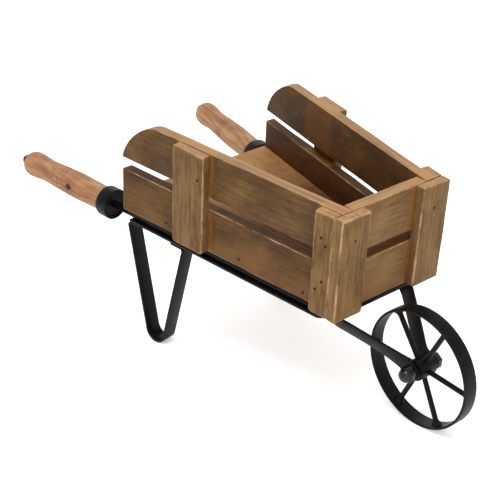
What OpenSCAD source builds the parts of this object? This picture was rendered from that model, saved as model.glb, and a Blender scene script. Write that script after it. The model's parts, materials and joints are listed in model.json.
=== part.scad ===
// Small wooden wheelbarrow: a tapered slatted crate on an iron frame, with
// two strap legs, turned handles on through-rods and a six-spoke iron wheel.
// Everything is laid out level with the crate first (X forward to the wheel,
// Y to the left, Z up, zero at the underside of the crate's front), then
// tipped nose-down until the wheel and both legs stand on Z = 0.

/* [Crate] */
// Length of the side boards, front to rear
crate_len = 320; // [300:1:340]
// Outside width over the side boards at the front
crate_front_w = 136; // [130:1:144]
// Outside width over the side boards at the rear
crate_rear_w = 238; // [226:1:246]
// Height of the crate's sides
crate_h = 125; // [120:1:132]
// Thickness of the side and front boards
board_t = 13.5; // [12:0.5:15]
// Height of the lower boards
lower_board_h = 56; // [50:1:60]
// Open gap between lower and upper boards
board_gap = 15; // [10:1:18]
// Radius of the curve on the upper boards' rear corners
corner_curve_r = 80; // [70:1:100]
// Thickness of the floor board
floor_t = 20; // [16:1:22]

/* [Battens] */
// Thickness of the upright battens
batten_t = 12; // [10:0.5:14]
// Width of the batten in the middle of each side
mid_batten_w = 47; // [40:1:50]
// Distance of that batten's centre behind the crate's front
mid_batten_back = 204; // [190:1:215]
// Width of the side battens at the front corners
side_batten_w = 27; // [24:1:32]
// Width of the battens on the front face
front_batten_w = 41; // [36:1:44]
// Radius on the battens' lower corners
batten_foot_r = 4; // [2:0.5:6]

/* [Frame] */
// Diameter of the long rods under the crate's sides
rod_d = 9; // [8:0.5:10]
// Gap between the boards and the rods below them
rod_gap = 2; // [0.5:0.5:3]
// Distance of the rods in from the outer face of the side boards
rod_in = 8; // [7:0.5:10]
// Width of the flat iron strap used for rails, fork and legs
strap_w = 18; // [16:0.5:20]
// Thickness of the strap
strap_t = 3; // [2.5:0.5:4]
// Diameter of the cross bars under the floor
cross_bar_d = 8; // [6:0.5:9]
// How far the rear cross bar sits ahead of the crate's rear
rear_bar_in = 14; // [10:1:30]

/* [Legs] */
// Distance of the legs' middle behind the crate's front
leg_back = 266.5; // [255:0.5:272]
// Slope of each leg limb from upright, degrees
leg_splay = 12.4; // [10:0.2:14]
// Width of the strap iron of the legs
leg_w = 20; // [18:1:22]
// Outside radius of the rounded foot
foot_r = 16; // [13:0.5:18]
// Length of the welded flange on each limb
flange_len = 16; // [10:1:24]

/* [Wheel] */
// Outside diameter of the wheel
wheel_d = 140; // [130:1:144]
// Width of the wheel's rim
wheel_w = 18; // [14:0.5:19]
// Thickness of the wheel's rim
rim_t = 3; // [2.5:0.5:4]
// Diameter of the round spokes
spoke_d = 6; // [5:0.5:7]
// Turn of all the spokes together, degrees
spoke_turn = 1.5; // [-15:0.1:15]
// Outside diameter of the hub
hub_d = 24; // [20:0.5:27]
// Length of the hub along the axle
hub_len = 24; // [20:0.5:24]
// Diameter of the axle bolt
axle_d = 10; // [8:0.5:10]
// Distance of the axle ahead of the crate's front
axle_ahead = 72.5; // [70:0.5:80]
// Distance of the axle below the crate's underside
axle_drop = 55; // [50:0.5:60]

/* [Handles] */
// Distance of the ferrule's front face behind the crate
ferrule_back = 21; // [16:0.5:26]
// Length of the ferrule
ferrule_len = 18; // [16:1:24]
// Outside diameter of the ferrule
ferrule_d = 40; // [38:0.5:42]
// Length of the handle that shows behind the ferrule
grip_len = 144.5; // [140:0.5:165]
// Diameter of the thin rod through the handle
tang_d = 6; // [5:0.5:6.5]

/* [Stance] */
// How far the crate tips nose-down when it stands, degrees
nose_down = 7.8; // [6:0.1:9]

/* [Hidden] */
$fn = 64;

WOOD = "#8a6a45";
FLOOR_WOOD = "#a07c52";
GRIP_WOOD = "#c79d74";
IRON = "#26262a";
NAIL = "#2f2a26";

front_half = crate_front_w / 2;
rear_half = crate_rear_w / 2;
taper = atan((rear_half - front_half) / crate_len);
side_len = crate_len / cos(taper);
// a board's thickness measured straight across the crate
across_t = board_t / cos(taper);
upper_z = lower_board_h + board_gap;
upper_h = crate_h - upper_z;
// the gap on the front face sits slightly lower and is narrower
front_gap_z = lower_board_h + 1;
front_gap = board_gap - 3;
joint_gap = 0.2;
batten_h = crate_h - 0.6;
// centre of the curve that rounds the upper boards' rear corners
curve_chord = upper_h * sqrt(2);
curve_in = sqrt(corner_curve_r * corner_curve_r - curve_chord * curve_chord / 4);
curve_x = -crate_len + upper_h / 2 + curve_in / sqrt(2);
curve_z = upper_z + upper_h / 2 - curve_in / sqrt(2);
big = 400;

nail_d = 1.8;
nail_head_d = 3.2;
nail_head_t = 1;
nail_sink = 0.2;
nail_len = 22;
floor_nail_len = 30;
nail_play = 0.05;
// nails of one side: distance from the front corner along the side, height
side_nails = [[-17, 95], [-11, 87], [-20, 31], [-12, 43]];
mid_nails = [[-214, 109], [-192, 94], [-213, 42], [-197, 16]];
floor_nails_at = [[-44, 9], [-137, 10], [-251, 10]];
// nails of one front batten: distance from the middle, height
front_nails = [[-59, 96], [-50, 112], [-61, 44], [-51, 17]];

rod_z = -rod_gap - rod_d / 2;
strap_z = -rod_gap - rod_d - strap_t;
strap_rear = side_len - 11;
bar_x = -cross_bar_d / 2;
bar_short = 8.5;

axle_r = axle_d / 2;
axle_play = 0.06;
wheel_r = wheel_d / 2;
// the spokes were set by eye, so they aren't quite evenly spaced
spoke_angles = [0, 65.5, 127.5, 185.5, 246.5, 297];
hub_r = hub_d / 2;
washer_t = 1.3;
washer_r = 9.5;
inner_washer_r = 8;
// the fork's eyes stand just outside the hub and its washers
eye_y = hub_len / 2 + washer_t + 0.2;
eye_r = strap_w / 2 + 1;
outer_y = eye_y + strap_t + 0.1;
bolt_head_r = 9.8;
bolt_head_t = 6.4;
nut_hex_t = 7;
nut_dome_r = 8.2;
weld_r = 6;
weld_h = 4;

// fork arm: the strap leaves the rail just inside the crate's front, takes a
// quarter twist at once, then runs on edge down to the axle
arm_from = -24;
eye_slope = 22;
eye_lead = 12;
arm_steps = 18;
twist_until = 0.3;
twist_part = 73;
arm_bend_1 = 10;
arm_lift = 2.5;
arm_bend_2 = 10;

// lowest point of the wheel, and the foot height that reaches the same level
ground_z = -axle_ahead * sin(nose_down) - axle_drop * cos(nose_down) - wheel_r;
foot_lean = sin(taper) * sin(nose_down);
foot_drop = foot_r * sqrt(1 - foot_lean * foot_lean);
foot_z = (ground_z + foot_drop - leg_back * sin(nose_down)) / cos(nose_down);
leg_bend_r = 5;
leg_top_z = strap_z;
bend_z = leg_top_z - leg_bend_r;
bend_x = (foot_r - leg_bend_r + (bend_z - foot_z) * sin(leg_splay)) / cos(leg_splay);

// handle: distances behind the crate's rear along the rod
plate_t = 3;
rim_in = 3;
socket_from = ferrule_back + rim_in + plate_t;
ferrule_end = ferrule_back + ferrule_len;
socket_r = ferrule_d / 2 - 5.2;
ferrule_round = 2.5;
grip_end = ferrule_end + grip_len;
tang_end = grip_end + 1;
nut_ball_r = 6.5;
nut_ball_at = grip_end + 4.5;
// share of the grip's length, radius
grip_shape = [
    [0, 14.9], [0.07, 15.4], [0.19, 16], [0.36, 16.5], [0.53, 15.6],
    [0.65, 14.8], [0.74, 14.5], [0.81, 15.3], [0.88, 16.2], [0.93, 15.9],
    [0.965, 14.2], [0.988, 11.6], [1, 8.4]
];
grip_steps = 4;

// the object's ends along X once it is tipped, to centre it on the origin
nut_ball_x = -(side_len + nut_ball_at) * cos(taper) - rod_in * sin(taper);
rear_x = nut_ball_x * cos(nose_down) + rod_z * sin(nose_down) - nut_ball_r;
front_x = axle_ahead * cos(nose_down) - axle_drop * sin(nose_down) + wheel_r;
shift_x = -(rear_x + front_x) / 2;

function side_y(x) = front_half - x * tan(taper);
function side_point(x, y, z) = [
    x * cos(taper) + y * sin(taper),
    front_half - x * sin(taper) + y * cos(taper),
    z
];
function unit(v) = v / norm(v);
function bezier(a, b, c, d, t) =
    a * pow(1 - t, 3) + 3 * b * t * pow(1 - t, 2) + 3 * c * t * t * (1 - t) + d * pow(t, 3);
function bezier_way(a, b, c, d, t) =
    3 * (b - a) * pow(1 - t, 2) + 6 * (c - b) * t * (1 - t) + 3 * (d - c) * t * t;
function ease(t) = t * t * (3 - 2 * t);
function clamp01(t) = min(1, max(0, t));
// smooth curve through the stations of a turned shape
function knot(list, i) = list[min(len(list) - 1, max(0, i))];
function through(a, b, c, d, t) =
    0.5 * (2 * b + (c - a) * t + (2 * a - 5 * b + 4 * c - d) * t * t
    + (3 * b - a - 3 * c + d) * t * t * t);
function smooth(list, steps) = [
    for (i = [0:len(list) - 2])
        for (k = [0:steps - 1])
            through(knot(list, i - 1), knot(list, i), knot(list, i + 1), knot(list, i + 2), k / steps)
];

module placed() {
    translate([shift_x, 0, -ground_z])
        rotate([0, nose_down, 0])
            children();
}

// local frame of the left side: X forward along the boards, Y outward
module left_side() {
    translate([0, front_half, 0])
        rotate([0, 0, -taper])
            children();
}

module on_side(side) {
    if (side > 0)
        left_side() children();
    else
        mirror([0, 1, 0]) left_side() children();
}

// local frame of a handle: Z runs rearward along the rod from the crate
module on_grip(side) {
    on_side(side)
        translate([-side_len, -rod_in, rod_z])
            rotate([0, -90, 0])
                children();
}

module at_axle() {
    translate([axle_ahead, 0, -axle_drop])
        rotate([90, 0, 0])
            children();
}

module nail(length) {
    translate([0, 0, -length])
        cylinder(d = nail_d, h = length - nail_sink);
    translate([0, 0, -nail_head_t - nail_sink])
        cylinder(d = nail_head_d, h = nail_head_t);
}

module nail_hole(length) {
    translate([0, 0, -length - nail_play])
        cylinder(d = nail_d + 2 * nail_play, h = length + 1);
    translate([0, 0, -nail_head_t - nail_sink - nail_play])
        cylinder(d = nail_head_d + 2 * nail_play, h = nail_head_t + 1);
}

// the nails through one side's battens, or their holes
module side_batten_nails(side, hole) {
    on_side(side)
        for (p = concat(side_nails, mid_nails))
            translate([p[0], batten_t, p[1]])
                rotate([-90, 0, 0]) {
                    if (hole)
                        nail_hole(nail_len);
                    else
                        nail(nail_len);
                }
}

module side_floor_nails(side, hole) {
    on_side(side)
        for (p = floor_nails_at)
            translate([p[0], 0, p[1]])
                rotate([-90, 0, 0]) {
                    if (hole)
                        nail_hole(floor_nail_len);
                    else
                        nail(floor_nail_len);
                }
}

module front_batten_nails(side, hole) {
    for (p = front_nails)
        translate([batten_t, -side * p[0], p[1]])
            rotate([0, 90, 0]) {
                if (hole)
                    nail_hole(nail_len);
                else
                    nail(nail_len);
            }
}

module side_plank(side, z, h) {
    mirror([0, side > 0 ? 0 : 1, 0])
        translate([0, 0, z])
            linear_extrude(height = h)
                polygon([
                    [0, side_y(0)],
                    [-crate_len, side_y(-crate_len)],
                    [-crate_len, side_y(-crate_len) - across_t],
                    [0, side_y(0) - across_t]
                ]);
}

module front_plank(z, h) {
    half_out = side_y(0) - across_t - joint_gap;
    half_in = side_y(-board_t) - across_t - joint_gap;
    translate([0, 0, z])
        linear_extrude(height = h)
            polygon([
                [0, half_out], [-board_t, half_in],
                [-board_t, -half_in], [0, -half_out]
            ]);
}

// upright board with its two lower corners rounded; rounding can be one-sided
module batten_outline(w, left_round, right_round) {
    r = batten_foot_r;
    translate([0, r])
        square([w, batten_h - r]);
    translate([left_round ? r : 0, 0])
        square([w - (left_round ? r : 0) - (right_round ? r : 0), r + 1]);
    if (left_round)
        translate([r, r])
            circle(r = r);
    if (right_round)
        translate([w - r, r])
            circle(r = r);
}

module floor_board() {
    x_front = -board_t - joint_gap;
    x_rear = -crate_len;
    half_front = side_y(x_front) - across_t - joint_gap;
    half_rear = side_y(x_rear) - across_t - joint_gap;
    color(FLOOR_WOOD)
        placed()
            difference() {
                linear_extrude(height = floor_t)
                    polygon([
                        [x_front, half_front], [x_rear, half_rear],
                        [x_rear, -half_rear], [x_front, -half_front]
                    ]);
                side_floor_nails(1, true);
                side_floor_nails(-1, true);
            }
}

module lower_board(side) {
    color(WOOD)
        placed()
            difference() {
                side_plank(side, 0, lower_board_h);
                side_batten_nails(side, true);
                side_floor_nails(side, true);
                front_batten_nails(side, true);
            }
}

module upper_board(side) {
    color(WOOD)
        placed()
            difference() {
                side_plank(side, upper_z, upper_h);
                side_batten_nails(side, true);
                front_batten_nails(side, true);
                // waste beyond the curved rear corner
                difference() {
                    translate([-crate_len - 1, -big / 2, upper_z - 1])
                        cube([upper_h + 1, big, upper_h + 2]);
                    translate([curve_x, 0, curve_z])
                        rotate([90, 0, 0])
                            cylinder(r = corner_curve_r, h = big + 2, center = true);
                }
            }
}

module front_lower_board() {
    color(WOOD)
        placed()
            difference() {
                front_plank(0, front_gap_z);
                front_batten_nails(1, true);
                front_batten_nails(-1, true);
            }
}

module front_upper_board() {
    color(WOOD)
        placed()
            difference() {
                front_plank(front_gap_z + front_gap, crate_h - front_gap_z - front_gap);
                front_batten_nails(1, true);
                front_batten_nails(-1, true);
            }
}

module mid_batten(side) {
    color(WOOD)
        placed()
            difference() {
                on_side(side)
                    translate([-mid_batten_back / cos(taper) - mid_batten_w / 2, batten_t, 0])
                        rotate([90, 0, 0])
                            linear_extrude(height = batten_t)
                                batten_outline(mid_batten_w, true, true);
                side_batten_nails(side, true);
            }
}

module side_batten(side) {
    color(WOOD)
        placed()
            difference() {
                on_side(side)
                    translate([-side_batten_w, batten_t, 0])
                        rotate([90, 0, 0])
                            linear_extrude(height = batten_t)
                                batten_outline(side_batten_w + 4, true, false);
                // trimmed flush with the crate's front face
                translate([-joint_gap, -big / 2, -1])
                    cube([20, big, crate_h + 2]);
                side_batten_nails(side, true);
            }
}

module front_batten(side) {
    color(WOOD)
        placed()
            difference() {
                mirror([0, side > 0 ? 0 : 1, 0])
                    translate([0, side_y(0) + batten_t / cos(taper) - front_batten_w, 0])
                        rotate([90, 0, 90])
                            linear_extrude(height = batten_t)
                                batten_outline(front_batten_w, true, false);
                front_batten_nails(side, true);
            }
}

module batten_nails() {
    color(NAIL)
        placed()
            for (side = [-1, 1]) {
                side_batten_nails(side, false);
                front_batten_nails(side, false);
            }
}

module floor_nails() {
    color(NAIL)
        placed()
            for (side = [-1, 1])
                side_floor_nails(side, false);
}

module rod(side) {
    color(IRON)
        placed() {
            on_side(side)
                translate([-side_len - socket_from, -rod_in, rod_z])
                    rotate([0, 90, 0])
                        cylinder(d = rod_d, h = side_len + socket_from + arm_from);
            on_grip(side)
                translate([0, 0, socket_from - 1])
                    cylinder(d = tang_d, h = tang_end - socket_from + 1);
        }
}

// flat iron from the rear of the crate to the front, bent and twisted into a
// fork arm with an eye for the axle
module arm_sweep() {
    start = side_point(arm_from, -strap_w / 2, strap_z + strap_t / 2);
    way_start = [cos(taper), -sin(taper), 0];
    way_end = [cos(eye_slope), 0, -sin(eye_slope)];
    eye = [axle_ahead, eye_y + strap_t / 2, -axle_drop];
    finish = eye - eye_lead * way_end;
    p1 = start + arm_bend_1 * way_start + [0, 0, arm_lift];
    p2 = finish - arm_bend_2 * way_end;
    wide_start = [sin(taper), cos(taper), 0];
    half_w = strap_w / 2;
    half_t = strap_t / 2 - 0.05;
    wide_end = [sin(eye_slope), 0, cos(eye_slope)];
    // the flat rail, the twisted arm, then the straight end that holds the eye
    marks = concat([-1], [for (i = [0:arm_steps]) i / arm_steps], [2]);
    rings = [
        for (m = marks)
            let (
                t = clamp01(m),
                rail = m < 0 ? strap_rear + arm_from : 0,
                lead = m > 1 ? eye_lead : 0,
                early = ease(clamp01(t / twist_until)),
                late = ease(clamp01(2.5 * t - 1.5)),
                turn = twist_part * early + (90 - twist_part) * late,
                way = unit(bezier_way(start, p1, p2, finish, t)),
                blend = wide_start * cos(turn) + wide_end * sin(turn),
                wide = unit(blend - way * (blend * way)),
                up = cross(way, wide),
                c = bezier(start, p1, p2, finish, t) - rail * way_start + lead * way_end
            )
            [
                c - wide * half_w - up * half_t,
                c + wide * half_w - up * half_t,
                c + wide * half_w + up * half_t,
                c - wide * half_w + up * half_t
            ]
    ];
    points = [for (ring = rings) each ring];
    last = (len(rings) - 1) * 4;
    sides = [
        for (i = [0:len(rings) - 2])
            for (k = [0:3])
                let (
                    a = i * 4 + k,
                    b = i * 4 + (k + 1) % 4
                )
                each [[a, b + 4, b], [a, a + 4, b + 4]]
    ];
    ends = [[1, 2, 3], [0, 1, 3], [last + 2, last + 1, last], [last + 3, last + 2, last]];
    polyhedron(points = points, faces = concat(sides, ends));
}

module strap(side) {
    color(IRON)
        placed()
            mirror([0, side > 0 ? 0 : 1, 0])
                difference() {
                    union() {
                        arm_sweep();
                        translate([axle_ahead, eye_y + strap_t, -axle_drop])
                            rotate([90, 0, 0])
                                cylinder(r = eye_r, h = strap_t);
                    }
                    translate([axle_ahead, 0, -axle_drop])
                        rotate([90, 0, 0])
                            cylinder(r = axle_r + 0.1, h = 100, center = true);
                }
}

module cross_bar(x, half) {
    translate([x, 0, -cross_bar_d / 2])
        rotate([90, 0, 0])
            cylinder(d = cross_bar_d, h = 2 * half, center = true);
}

module front_cross_bar() {
    color(IRON)
        placed()
            difference() {
                cross_bar(bar_x, side_y(bar_x) - bar_short);
                for (m = [0, 1])
                    mirror([0, m, 0])
                        arm_sweep();
            }
}

module rear_cross_bar() {
    x = rear_bar_in - crate_len;
    color(IRON)
        placed()
            cross_bar(x, side_y(x) - (rod_in + rod_d / 2) / cos(taper) - 0.05);
}

// area inside the bent strap's outer face, or inside its inner face
module leg_area(inset) {
    r = foot_r - inset;
    q = leg_bend_r - inset;
    nx = cos(leg_splay);
    nz = -sin(leg_splay);
    polygon([
        [r * nx, foot_z + r * nz],
        [bend_x + q * nx, bend_z + q * nz],
        [bend_x, bend_z + q],
        [-bend_x, bend_z + q],
        [-bend_x - q * nx, bend_z + q * nz],
        [-r * nx, foot_z + r * nz]
    ]);
    translate([0, foot_z])
        circle(r = r);
    for (end = [-1, 1])
        translate([end * bend_x, bend_z])
            circle(r = q);
}

// one strap bent to a V, with its ends turned in as flanges
module leg(side) {
    gap = 2 * (bend_x - flange_len);
    color(IRON)
        placed()
            on_side(side)
                translate([-leg_back / cos(taper), 0, 0])
                    rotate([90, 0, 0])
                        linear_extrude(height = leg_w)
                            difference() {
                                leg_area(0);
                                leg_area(strap_t);
                                translate([-gap / 2, leg_top_z - strap_t - 1])
                                    square([gap, strap_t + 2]);
                            }
}

module ferrule(side) {
    r = ferrule_d / 2;
    color(IRON)
        placed()
            on_grip(side)
                rotate_extrude()
                    difference() {
                        union() {
                            translate([0, ferrule_back])
                                square([r, ferrule_len - ferrule_round]);
                            translate([0, ferrule_back])
                                square([r - ferrule_round, ferrule_len]);
                            translate([r - ferrule_round, ferrule_end - ferrule_round])
                                circle(r = ferrule_round);
                        }
                        // recess in the front, hole for the rod, socket for the handle
                        translate([-1, ferrule_back - 1])
                            square([r - rim_in + 1, rim_in + 1]);
                        translate([-1, ferrule_back])
                            square([rod_d / 2 + 0.1 + 1, ferrule_len]);
                        translate([-1, socket_from])
                            square([socket_r + 1, ferrule_len]);
                        translate([-10, ferrule_back - 1])
                            square([10, ferrule_len + 2]);
                    }
}

module handle(side) {
    shape = smooth(grip_shape, grip_steps);
    grip = [for (p = shape) [p[1], ferrule_end + p[0] * grip_len]];
    tenon_r = socket_r - 0.1;
    color(GRIP_WOOD)
        placed()
            on_grip(side)
                difference() {
                    rotate_extrude()
                        polygon(concat(
                            [[0, socket_from + 0.3], [tenon_r, socket_from + 0.3], [tenon_r, ferrule_end]],
                            grip,
                            [[grip_shape[len(grip_shape) - 1][1], grip_end], [0, grip_end]]
                        ));
                    translate([0, 0, socket_from - 1])
                        cylinder(d = tang_d + 0.1, h = grip_end);
                }
}

module handle_nuts() {
    color(IRON)
        placed()
            for (side = [-1, 1])
                on_grip(side)
                    difference() {
                        translate([0, 0, nut_ball_at])
                            sphere(r = nut_ball_r);
                        translate([0, 0, nut_ball_at - nut_ball_r - 1])
                            cylinder(r = nut_ball_r + 1, h = grip_end + 0.05 - nut_ball_at + nut_ball_r + 1);
                        translate([0, 0, grip_end - 2])
                            cylinder(d = tang_d + 0.1, h = tang_end - grip_end + 2.05);
                    }
}

module wheel_rim() {
    color(IRON)
        placed()
            at_axle()
                difference() {
                    cylinder(r = wheel_r, h = wheel_w, center = true, $fn = 128);
                    cylinder(r = wheel_r - rim_t, h = wheel_w + 1, center = true, $fn = 128);
                }
}

module spoke_bars(d) {
    for (i = [0:len(spoke_angles) - 1])
        rotate([0, 0, spoke_turn + spoke_angles[i]])
            rotate([0, 90, 0])
                cylinder(d = d, h = wheel_r - 1);
}

module wheel_spokes() {
    color(IRON)
        placed()
            at_axle()
                difference() {
                    intersection() {
                        spoke_bars(spoke_d);
                        cylinder(r = wheel_r - rim_t - 0.05, h = wheel_w, center = true, $fn = 128);
                    }
                    cylinder(r = hub_r + 0.05, h = wheel_w, center = true);
                }
}

// a bead of weld where each spoke meets the rim
module spoke_welds() {
    inside_r = wheel_r - rim_t - 0.05;
    color(IRON)
        placed()
            at_axle()
                for (i = [0:len(spoke_angles) - 1])
                    rotate([0, 0, spoke_turn + spoke_angles[i]])
                        intersection() {
                            translate([inside_r - weld_h, 0, 0])
                                rotate([0, 90, 0])
                                    difference() {
                                        cylinder(r1 = spoke_d / 2 + 0.6, r2 = weld_r, h = weld_h + 1);
                                        translate([0, 0, -1])
                                            cylinder(d = spoke_d + 0.1, h = weld_h + 3);
                                    }
                            cylinder(r = inside_r, h = wheel_w, center = true, $fn = 128);
                        }
}

module wheel_hub() {
    color(IRON)
        placed()
            at_axle()
                difference() {
                    cylinder(r = hub_r, h = hub_len, center = true);
                    cylinder(r = axle_r + axle_play, h = hub_len + 2, center = true);
                }
}

module axle_bolt() {
    tip_y = -(outer_y + washer_t + nut_hex_t + 3);
    head_y = outer_y + washer_t;
    color(IRON)
        placed()
            at_axle() {
                translate([0, 0, -head_y])
                    cylinder(r = axle_r, h = head_y - tip_y);
                translate([0, 0, -head_y - bolt_head_t])
                    cylinder(r = bolt_head_r, h = bolt_head_t, $fn = 6);
            }
}

module axle_washers() {
    color(IRON)
        placed()
            at_axle()
                for (side = [-1, 1]) {
                    translate([0, 0, side * (hub_len / 2 + 0.1 + washer_t / 2)])
                        difference() {
                            cylinder(r = inner_washer_r, h = washer_t, center = true);
                            cylinder(r = axle_r + 0.1, h = washer_t + 1, center = true);
                        }
                    translate([0, 0, side * (outer_y + washer_t / 2 - 0.05)])
                        difference() {
                            cylinder(r = washer_r, h = washer_t, center = true);
                            cylinder(r = axle_r + 0.1, h = washer_t + 1, center = true);
                        }
                }
}

// closed nut on the right-hand end of the axle bolt
module axle_nut() {
    base = outer_y + washer_t;
    color(IRON)
        placed()
            at_axle()
                difference() {
                    union() {
                        translate([0, 0, base])
                            cylinder(r = bolt_head_r, h = nut_hex_t, $fn = 6);
                        intersection() {
                            translate([0, 0, base + nut_hex_t])
                                sphere(r = nut_dome_r);
                            translate([0, 0, base + nut_hex_t - 1])
                                cylinder(r = nut_dome_r + 1, h = nut_dome_r + 2);
                        }
                    }
                    translate([0, 0, base - 1])
                        cylinder(r = axle_r + 0.05, h = nut_hex_t + 4.2);
                }
}

floor_board();
lower_board(1);  // lower_board_left
lower_board(-1);  // lower_board_right
upper_board(1);  // upper_board_left
upper_board(-1);  // upper_board_right
front_lower_board();
front_upper_board();
mid_batten(1);  // mid_batten_left
mid_batten(-1);  // mid_batten_right
side_batten(1);  // side_batten_left
side_batten(-1);  // side_batten_right
front_batten(1);  // front_batten_left
front_batten(-1);  // front_batten_right
batten_nails();
floor_nails();
rod(1);  // rod_left
rod(-1);  // rod_right
strap(1);  // strap_left
strap(-1);  // strap_right
front_cross_bar();
rear_cross_bar();
leg(1);  // leg_left
leg(-1);  // leg_right
ferrule(1);  // ferrule_left
ferrule(-1);  // ferrule_right
handle(1);  // handle_left
handle(-1);  // handle_right
handle_nuts();
wheel_rim();
wheel_spokes();
spoke_welds();
wheel_hub();
axle_bolt();
axle_washers();
axle_nut();
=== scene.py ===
import json
import math
import random
import bpy
from mathutils import Matrix, Vector


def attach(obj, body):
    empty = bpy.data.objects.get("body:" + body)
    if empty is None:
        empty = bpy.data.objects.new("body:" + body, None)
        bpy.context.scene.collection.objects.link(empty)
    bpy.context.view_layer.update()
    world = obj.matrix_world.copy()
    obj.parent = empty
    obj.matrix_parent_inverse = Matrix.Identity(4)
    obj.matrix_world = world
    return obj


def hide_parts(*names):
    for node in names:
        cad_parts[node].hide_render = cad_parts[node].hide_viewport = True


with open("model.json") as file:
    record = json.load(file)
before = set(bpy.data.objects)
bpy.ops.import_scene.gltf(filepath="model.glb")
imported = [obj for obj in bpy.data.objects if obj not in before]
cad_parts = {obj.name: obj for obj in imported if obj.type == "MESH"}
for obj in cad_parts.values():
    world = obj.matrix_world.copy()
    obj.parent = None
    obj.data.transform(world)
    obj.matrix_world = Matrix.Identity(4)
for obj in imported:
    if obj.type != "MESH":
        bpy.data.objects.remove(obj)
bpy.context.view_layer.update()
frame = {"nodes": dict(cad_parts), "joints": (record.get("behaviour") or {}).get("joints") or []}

mm = 0.001
random.seed(7)
scene = bpy.context.scene
scene.view_settings.view_transform = "Standard"

# sizes of the crate, in millimetres, measured from the crate's front lower edge
crate = {
    "length": 320,
    "frontHalf": 68,
    "rearHalf": 119,
    "height": 125,
    "board": 13.5,
    "lowerTop": 56,
    "upperFoot": 71,
    "frontGapFoot": 57,
    "frontGapTop": 69,
    "floor": 20,
    "batten": 12,
    "noseDown": 7.8,
    "axleAt": (72.5, 0, -55),
}
taper = math.atan((crate["rearHalf"] - crate["frontHalf"]) / crate["length"])
sideLength = crate["length"] / math.cos(taper)

# the crate stands tipped forward, so its own frame is found from the axle
spin = next(j for j in frame["joints"] if j["name"] == "wheel_spin")
axle = Vector(spin["pos_m"])
tip = Matrix.Rotation(math.radians(crate["noseDown"]), 4, "Y")
place = Matrix.Translation(axle) @ tip @ Matrix.Translation(-Vector(crate["axleAt"]) * mm)


def sidePlace(side):
    # along the outer face of one side board, y outwards on the left
    turn = Matrix.Rotation(-side * taper, 4, "Z")
    return place @ Matrix.Translation((0, side * crate["frontHalf"] * mm, 0)) @ turn


# handling of pieces

def letGo():
    if bpy.context.object and bpy.context.object.mode != "OBJECT":
        bpy.ops.object.mode_set(mode="OBJECT")
    bpy.ops.object.select_all(action="DESELECT")


def pick(piece):
    letGo()
    piece.select_set(True)
    bpy.context.view_layer.objects.active = piece


def openMesh(piece, kind="VERT"):
    pick(piece)
    bpy.context.tool_settings.mesh_select_mode = (kind == "VERT", kind == "EDGE", kind == "FACE")
    bpy.ops.object.mode_set(mode="EDIT")


def grab(piece, test, kind="VERT"):
    # selects vertices by place, edges by both ends, faces by centre and normal
    pick(piece)
    mesh = piece.data
    for parts in (mesh.vertices, mesh.edges, mesh.polygons):
        parts.foreach_set("select", [False] * len(parts))
    if kind == "VERT":
        for v in mesh.vertices:
            v.select = test(v.co)
    if kind == "EDGE":
        for e in mesh.edges:
            e.select = all(test(mesh.vertices[i].co) for i in e.vertices)
    if kind == "FACE":
        for f in mesh.polygons:
            f.select = test(f.center, f.normal)
    openMesh(piece, kind)


def closeMesh():
    bpy.ops.object.mode_set(mode="OBJECT")


def fix(piece):
    # the piece's place goes into its mesh
    pick(piece)
    bpy.ops.object.transform_apply(location=True, rotation=True, scale=True)
    return piece


def useModifier(piece, kind, **settings):
    pick(piece)
    modifier = piece.modifiers.new(kind.title(), kind)
    for name, value in settings.items():
        setattr(modifier, name, value)
    bpy.ops.object.modifier_apply(modifier=modifier.name)


def softEdges(piece, width, segments=2, angle=30):
    useModifier(
        piece, "BEVEL", width=width * mm, segments=segments,
        limit_method="ANGLE", angle_limit=math.radians(angle), harden_normals=False,
    )


def shadeRound(piece, angle=32):
    pick(piece)
    bpy.ops.object.shade_smooth_by_angle(angle=math.radians(angle))


def settle(piece, where):
    piece.matrix_world = where @ piece.matrix_world
    return fix(piece)


def copyOf(piece, name):
    twin = piece.copy()
    twin.data = piece.data.copy()
    twin.name = name
    bpy.context.collection.objects.link(twin)
    return twin


def mirrored(piece, name):
    twin = copyOf(piece, name)
    twin.scale = (1, -1, 1)
    fix(twin)
    openMesh(twin)
    bpy.ops.mesh.select_all(action="SELECT")
    bpy.ops.mesh.normals_make_consistent(inside=False)
    closeMesh()
    return twin


def layer(mesh, name, values, domain="POINT"):
    # one value or vector for each vertex or face, for the finishes to read
    if isinstance(values[0], float):
        mesh.attributes.new(name, "FLOAT", domain).data.foreach_set("value", values)
    else:
        flat = [part for value in values for part in value]
        mesh.attributes.new(name, "FLOAT_VECTOR", domain).data.foreach_set("vector", flat)


def joined(pieces, name):
    letGo()
    for piece in pieces:
        piece.select_set(True)
    bpy.context.view_layer.objects.active = pieces[0]
    if len(pieces) > 1:
        bpy.ops.object.join()
    whole = bpy.context.object
    whole.name = name
    whole.data.name = name
    return whole


def done(piece, body, nodes, finish):
    piece.data.materials.clear()
    piece.data.materials.append(finish)
    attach(piece, body)
    if nodes:
        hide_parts(*nodes)
    return piece


unevenness = bpy.data.textures.new("unevenness", "CLOUDS")
unevenness.noise_scale = 0.05
fineLumps = bpy.data.textures.new("fineLumps", "CLOUDS")
fineLumps.noise_scale = 0.006


def roughen(piece, depth, texture=unevenness):
    useModifier(
        piece, "DISPLACE", texture=texture, texture_coords="GLOBAL",
        strength=depth * mm, mid_level=0.5,
    )


# shader maths

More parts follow.
